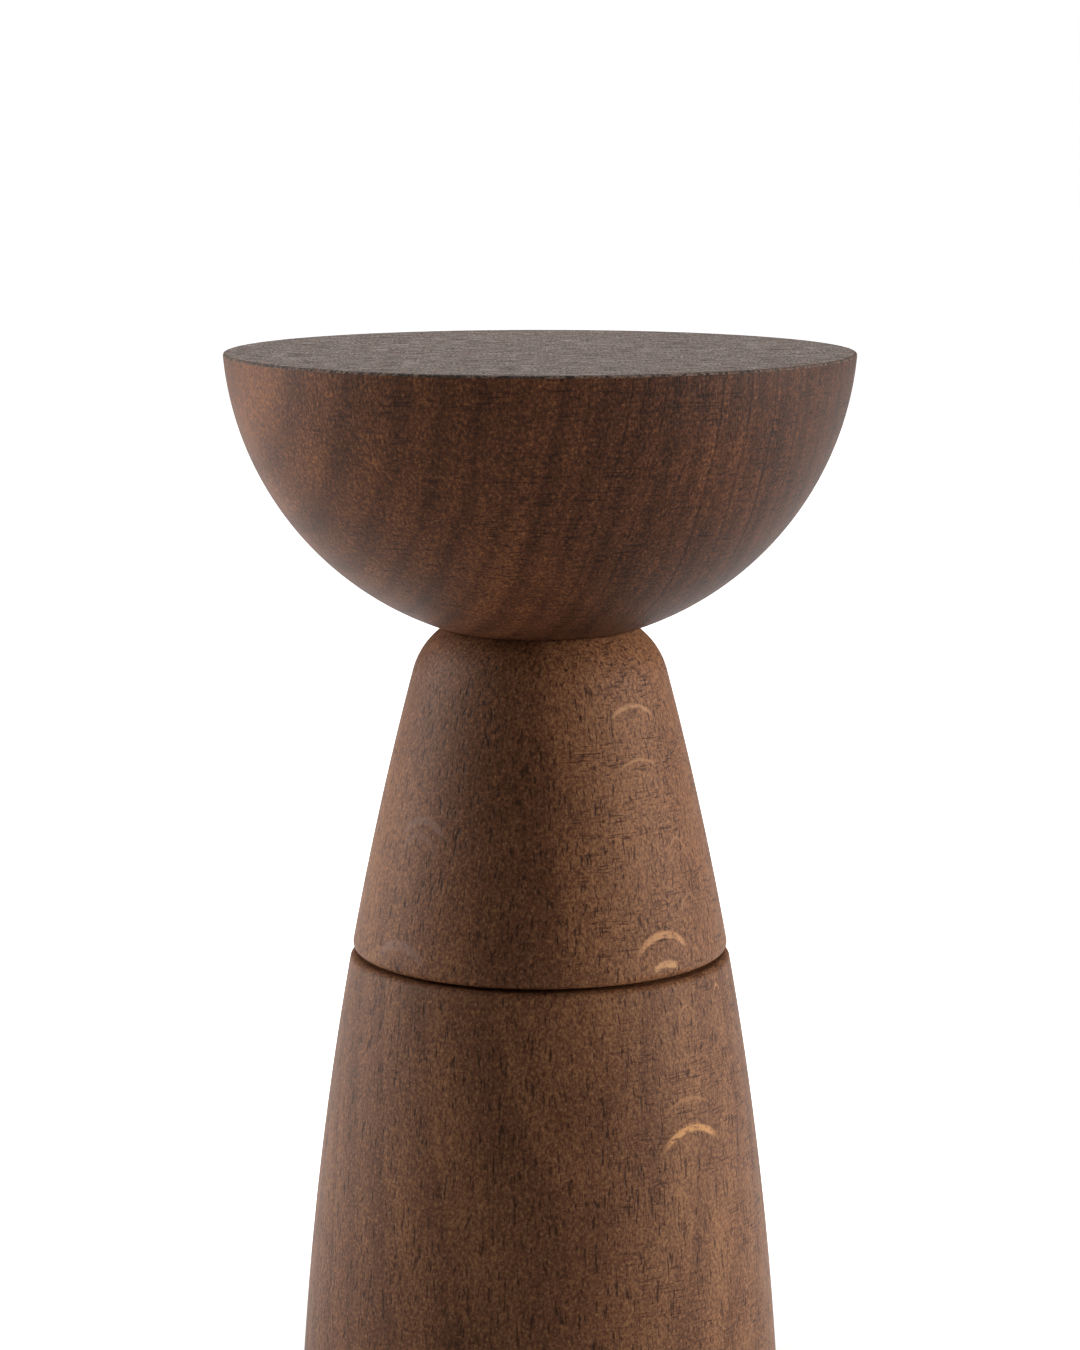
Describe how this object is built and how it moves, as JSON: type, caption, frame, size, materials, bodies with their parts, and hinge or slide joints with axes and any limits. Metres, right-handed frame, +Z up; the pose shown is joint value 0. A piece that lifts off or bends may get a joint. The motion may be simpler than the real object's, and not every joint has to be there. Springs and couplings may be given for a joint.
{
  "type": "wooden spice mill with a half-ball head",
  "caption": "Turned dark wooden mill: half-ball head with a flat top on a bell-shaped body; the head pulls off to fill it and turns to grind.",
  "frame": {"origin": "centre of the foot's resting face, on the table", "axes": "+Z up along the turning axis, from the foot to the flat top of the head; +X and +Y are equivalent"},
  "size_m": [0.0664, 0.0664, 0.14],
  "materials": {
    "body_wood": "smoked beech, sanded and oiled, satin matt",
    "head_wood": "smoked beech, sanded and oiled, satin matt",
    "dowel_wood": "plain beech dowel, raw",
    "dark_plastic": "moulded acetal, fine satin",
    "ivory_plastic": "moulded acetal, satin",
    "ceramic": "sintered ceramic, unglazed, fine and hard",
    "shaft_metal": "drawn aluminium bar",
    "clip_steel": "phosphated spring steel",
    "screw_steel": "zinc-plated steel",
    "spring_steel": "stainless spring wire",
    "bronze": "sintered bronze",
    "grip_rubber": "moulded silicone rubber, matt"
  },
  "bodies": {
    "body": {"mill_body": "body_wood", "grinder_housing": "dark_plastic", "grinding_ring": "ceramic", "bearing_bridge": "dark_plastic", "bearing_bush": "bronze", "housing_screws": "screw_steel"},
    "drive": {"drive_shaft": "shaft_metal", "shaft_clip": "clip_steel", "thrust_washer": "clip_steel", "rotor_spring": "spring_steel", "wheel_clip": "clip_steel"},
    "rotor": {"rotor_hub": "ivory_plastic", "grinding_rotor": "ceramic", "wheel_washer": "clip_steel"},
    "wheel": {"adjusting_wheel": "ivory_plastic"},
    "head": {"head_ball": "head_wood", "neck_dowel": "dowel_wood", "head_cone": "body_wood", "grip_ring": "grip_rubber", "drive_socket": "dark_plastic", "clasp_ring": "spring_steel", "socket_screws": "screw_steel"}
  },
  "joints": [
    {"name": "head_turn", "type": "hinge", "parent": "body", "child": "drive", "pos_m": [0, 0, 0.03], "axis": [0, 0, 1], "continuous": true},
    {"name": "head_lift", "type": "slide", "parent": "drive", "child": "head", "axis": [0, 0, 1], "range_m": [0, 0.06]},
    {"name": "rotor_lift", "type": "slide", "parent": "drive", "child": "rotor", "axis": [0, 0, 1], "range_m": [0, 0.00075], "deforming": ["rotor_spring"]},
    {"name": "grind_adjust", "type": "hinge", "parent": "rotor", "child": "wheel", "pos_m": [0, 0, 0.006], "axis": [0, 0, 1], "range_deg": [0, 540]}
  ],
  "couplings": [
    {"joint": "grind_adjust", "follows": "rotor_lift", "rad_per_m": 12566}
  ]
}
